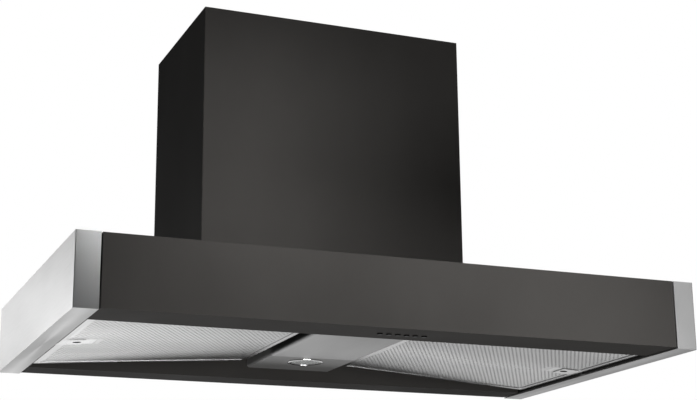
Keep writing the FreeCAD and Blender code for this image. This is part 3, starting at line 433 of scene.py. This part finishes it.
STRAND_PITCH = 0.0055
STRAND_ROW = 0.0032
STRAND_WIDTH = 0.0008
STRAND_LIFT = 0.0003
MESH_MARGIN = 0.001


def expanded_mesh(side, name):
    """The grease mesh: slit and stretched metal, so diamonds with strands that rise and fall."""
    layer = Layer(side, name, "mesh")
    middle = layer.thickness() / 2
    columns = int((layer.length - 2 * MESH_MARGIN) / STRAND_PITCH)
    rows = int((layer.high.y - layer.low.y - 2 * MESH_MARGIN) / STRAND_ROW)
    latch_column = (layer.notch_start - 2 * MESH_MARGIN) / STRAND_PITCH - 1
    latch_front = layer.latch_low.y - 2 * STRAND_ROW
    latch_rear = layer.latch_high.y + 2 * STRAND_ROW
    mesh = bmesh.new()
    made = {}

    def row_y(row):
        return layer.low.y + MESH_MARGIN + row * STRAND_ROW

    def corner(column, row):
        if (column, row) not in made:
            lift = STRAND_LIFT if column % 2 else -STRAND_LIFT
            made[column, row] = mesh.verts.new((MESH_MARGIN + column * STRAND_PITCH, row_y(row),
                                                middle + lift))
        return made[column, row]

    for column in range(1, columns):
        for row in range(1, rows):
            in_latch = column > latch_column and latch_front < row_y(row) < latch_rear
            if (column + row) % 2 and not in_latch:
                mesh.faces.new([corner(column - 1, row), corner(column, row - 1),
                                corner(column + 1, row), corner(column, row + 1)])
    mesh.normal_update()
    bmesh.ops.wireframe(mesh, faces=mesh.faces[:], thickness=STRAND_WIDTH, use_replace=True,
                        use_boundary=True, use_even_offset=True)
    layer.lay(mesh)
    piece(f"{name}_grease_mesh", mesh, f"{name}_filter", "filter_mesh", [layer.node_name])


LATHE_STEPS = 96


def lathe(name, outline, centre, body, slot_name, replaced):
    """An outline of radius and height turned about an upright axis.

    It starts and ends on the axis, or else its last point joins its first."""
    mesh = bmesh.new()
    rings = []
    for radius, height in outline:
        if radius == 0:
            rings.append([mesh.verts.new((centre.x, centre.y, height))] * LATHE_STEPS)
            continue
        turns = [math.tau * step / LATHE_STEPS for step in range(LATHE_STEPS)]
        rings.append([mesh.verts.new((centre.x + radius * math.cos(turn),
                                      centre.y + radius * math.sin(turn), height))
                      for turn in turns])
    on_axis = outline[0][0] == 0
    for number in range(len(rings) - 1 if on_axis else len(rings)):
        first, second = rings[number], rings[(number + 1) % len(rings)]
        for step in range(LATHE_STEPS):
            after = (step + 1) % LATHE_STEPS
            ring = [first[step], first[after], second[after], second[step]]
            mesh.faces.new(list(dict.fromkeys(ring)))
    bmesh.ops.recalc_face_normals(mesh, faces=mesh.faces)
    smooth(piece(name, mesh, body, slot_name, replaced))


LENS_RIBS = 7
LENS_PLAY = 0.00015
RIB_DEPTH = 0.0005
BEZEL_WALL = 0.0012
BEZEL_ROUND = 0.0006


def ribbed_lens():
    """The lamp's pressed lens: round ribs below, flat above."""
    low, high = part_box("lamp_lens")
    radius = (high.x - low.x) / 2
    outline = [(0.0, low.z)]
    for rib in range(2 * LENS_RIBS):
        depth = 0.0 if rib % 2 else RIB_DEPTH
        outline.append((radius * (rib + 1) / (2 * LENS_RIBS + 1), low.z + depth))
    outline += [(radius - RIB_DEPTH, low.z), (radius, low.z + RIB_DEPTH), (radius, high.z),
                (0.0, high.z)]
    lathe("ribbed_lens", outline, (low + high) / 2, "hood", "lamp_glass", ["lamp_lens"])


def rolled_bezel():
    """The lamp's ring: a flange with a rolled edge, and a sleeve round the lens."""
    lens_low, lens_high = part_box("lamp_lens")
    low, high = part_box("lamp_bezel")
    rim = (high.x - low.x) / 2
    bore = (lens_high.x - lens_low.x) / 2 + LENS_PLAY
    flange_top = low.z + 2 * BEZEL_ROUND
    outline = [(bore, low.z + BEZEL_ROUND), (bore + BEZEL_ROUND / 2, low.z),
               (rim - 2 * BEZEL_ROUND, low.z), (rim - BEZEL_ROUND / 2, low.z + BEZEL_ROUND / 2),
               (rim, flange_top), (bore + BEZEL_WALL, flange_top), (bore + BEZEL_WALL, high.z),
               (bore, high.z)]
    centre = (lens_low + lens_high) / 2
    lathe("rolled_bezel", outline, centre, "hood", "lamp_chrome", ["lamp_bezel"])


for side, name in SIDES:
    perforated_sheet(side, name)
    expanded_mesh(side, name)
ribbed_lens()
rolled_bezel()


# ---------------------------------------------------------------- camera, light and floor

CAMERA_PLACE = (-0.917, -2.29, -0.412)
YAW = math.radians(22.33)
PITCH = math.radians(15.56)
ROLL = math.radians(-0.52)
LENS = 78.3
SENSOR = 36.0

camera_data = bpy.data.cameras.new("camera")
camera_data.sensor_width = SENSOR
camera_data.lens = LENS
camera = bpy.data.objects.new("camera", camera_data)
camera.matrix_world = (Matrix.Translation(CAMERA_PLACE)
                       @ Matrix.Rotation(-YAW, 4, "Z")
                       @ Matrix.Rotation(math.pi / 2 + PITCH, 4, "X")
                       @ Matrix.Rotation(ROLL, 4, "Z"))
bpy.context.scene.collection.objects.link(camera)
bpy.context.scene.camera = camera


SPOT_SOURCE = 0.25


def aim(lamp, place, target):
    """Points a lamp at a target and hides it from the camera."""
    lamp.location = place
    lamp.rotation_euler = (Vector(target) - Vector(place)).to_track_quat("-Z", "Y").to_euler()
    lamp.visible_camera = False
    bpy.context.scene.collection.objects.link(lamp)


def softbox(name, place, target, width, height, power):
    """A soft area light aimed at a point; sizes in metres, power in watts."""
    data = bpy.data.lights.new(name, "AREA")
    data.shape = "RECTANGLE"
    data.size = width
    data.size_y = height
    data.energy = power
    aim(bpy.data.objects.new(name, data), place, target)


def soft_spot(name, place, target, angle, power):
    """A spotlight whose pool fades out from its middle; its cone's angle is in degrees."""
    data = bpy.data.lights.new(name, "SPOT")
    data.spot_size = math.radians(angle)
    data.spot_blend = 1.0
    data.shadow_soft_size = SPOT_SOURCE
    data.energy = power
    aim(bpy.data.objects.new(name, data), place, target)


softbox("high_front", (-0.2, -1.9, 1.7), (0.0, -0.2, 0.1), 1.0, 0.5, 4.0)
softbox("low_front", (-0.2, -1.5, -1.1), (0.0, -0.25, 0.05), 1.6, 0.5, 25.0)
softbox("fill_right", (1.7, -2.1, 0.45), (0.48, -0.29, 0.05), 0.8, 0.8, 2.5)
softbox("left_card", (-2.2, 2.6, 0.6), (-0.5, 0.0, 0.05), 1.0, 0.5, 8.0)
softbox("rear_card", (1.0, 3.0, 1.6), (0.0, 0.3, 0.2), 2.4, 1.8, 14.0)
softbox("overhead", (0.7, 0.9, 2.8), (0.0, 0.0, 0.1), 1.2, 1.2, 20.0)
soft_spot("chimney_pool", (-0.3, -2.2, 0.9), (-0.17, 0.0, 0.24), 13.0, 430.0)
soft_spot("panel_pool_left", (-0.7, -1.9, 1.7), (-0.2, -0.29, 0.05), 14.0, 190.0)
soft_spot("panel_pool_right", (-0.5, -1.9, 1.7), (0.28, -0.29, 0.05), 12.0, 850.0)

# The floor glows a little and is hidden from the object, so that it is pale from every side
# and lights nothing.
FLOOR_Z = -3.2
FLOOR_HALF = 30.0
FLOOR_GLOW = 0.6
floor_mesh = bmesh.new()
bmesh.ops.create_grid(floor_mesh, x_segments=8, y_segments=8, size=FLOOR_HALF)
floor_data = bpy.data.meshes.new("floor")
floor_mesh.to_mesh(floor_data)
floor_mesh.free()
floor = bpy.data.objects.new("floor", floor_data)
floor.location = (0.0, 0.0, FLOOR_Z)
floor.visible_glossy = False
floor.visible_diffuse = False
bpy.context.scene.collection.objects.link(floor)
floor_finish = Finish("floor_paint", Roughness=0.7, Emission_Strength=FLOOR_GLOW,
                      Emission_Color=rgba(0.8))
floor_finish.feed(floor_finish.shader.inputs["Base Color"],
                  floor_finish.mix(floor_finish.noise([2.0] * 3), rgba(0.78), rgba(0.82)))
floor_data.materials.append(floor_finish.material)

# The studio: white to the camera, and to the object a dim room with soft glows.
# Each glow has an azimuth (0 behind the object, 90 to its right) and an elevation in degrees,
# how tight it is, and its strength.
GLOWS = {
    "rear_horizon": (5, -10, 18, 1.35),
    "rear_right": (34, -16, 50, 0.5),
    "rear_left_up": (-20, 12, 12, 0.24),
    "far_left": (-10, 0, 40, 0.3),
    "front_right": (145, 15, 10, 0.05),
}
ROOM_LEVEL = 0.03

world = bpy.data.worlds.new("studio")
bpy.context.scene.world = world
world.use_nodes = True
tree = world.node_tree
tree.nodes.clear()
direction = tree.nodes.new("ShaderNodeTexCoord").outputs["Generated"]


def world_math(operation, first, second):
    """A math node in the world on two numbers or sockets."""
    node = tree.nodes.new("ShaderNodeMath")
    node.operation = operation
    for socket, given in zip(node.inputs, (first, second)):
        if isinstance(given, bpy.types.NodeSocket):
            tree.links.new(given, socket)
        else:
            socket.default_value = given
    return node


def glow(azimuth, elevation, tightness, strength):
    """A soft round glow in the room, centred on a direction."""
    turn, lift = math.radians(azimuth), math.radians(elevation)
    dot = tree.nodes.new("ShaderNodeVectorMath")
    dot.operation = "DOT_PRODUCT"
    tree.links.new(direction, dot.inputs[0])
    dot.inputs[1].default_value = (math.sin(turn) * math.cos(lift),
                                   math.cos(turn) * math.cos(lift), math.sin(lift))
    near = world_math("MAXIMUM", dot.outputs["Value"], 0.0)
    lobe = world_math("POWER", near.outputs[0], tightness)
    return world_math("MULTIPLY", lobe.outputs[0], strength).outputs[0]


total = ROOM_LEVEL
for settings in GLOWS.values():
    total = world_math("ADD", total, glow(*settings)).outputs[0]
room = tree.nodes.new("ShaderNodeBackground")
tree.links.new(total, room.inputs["Strength"])
backdrop = tree.nodes.new("ShaderNodeBackground")
for background in (room, backdrop):
    background.inputs["Color"].default_value = (1.0, 1.0, 1.0, 1.0)
path = tree.nodes.new("ShaderNodeLightPath")
choice = tree.nodes.new("ShaderNodeMixShader")
tree.links.new(path.outputs["Is Camera Ray"], choice.inputs["Fac"])
tree.links.new(room.outputs["Background"], choice.inputs[1])
tree.links.new(backdrop.outputs["Background"], choice.inputs[2])
output = tree.nodes.new("ShaderNodeOutputWorld")
tree.links.new(choice.outputs["Shader"], output.inputs["Surface"])

bpy.context.scene.view_settings.view_transform = "Standard"
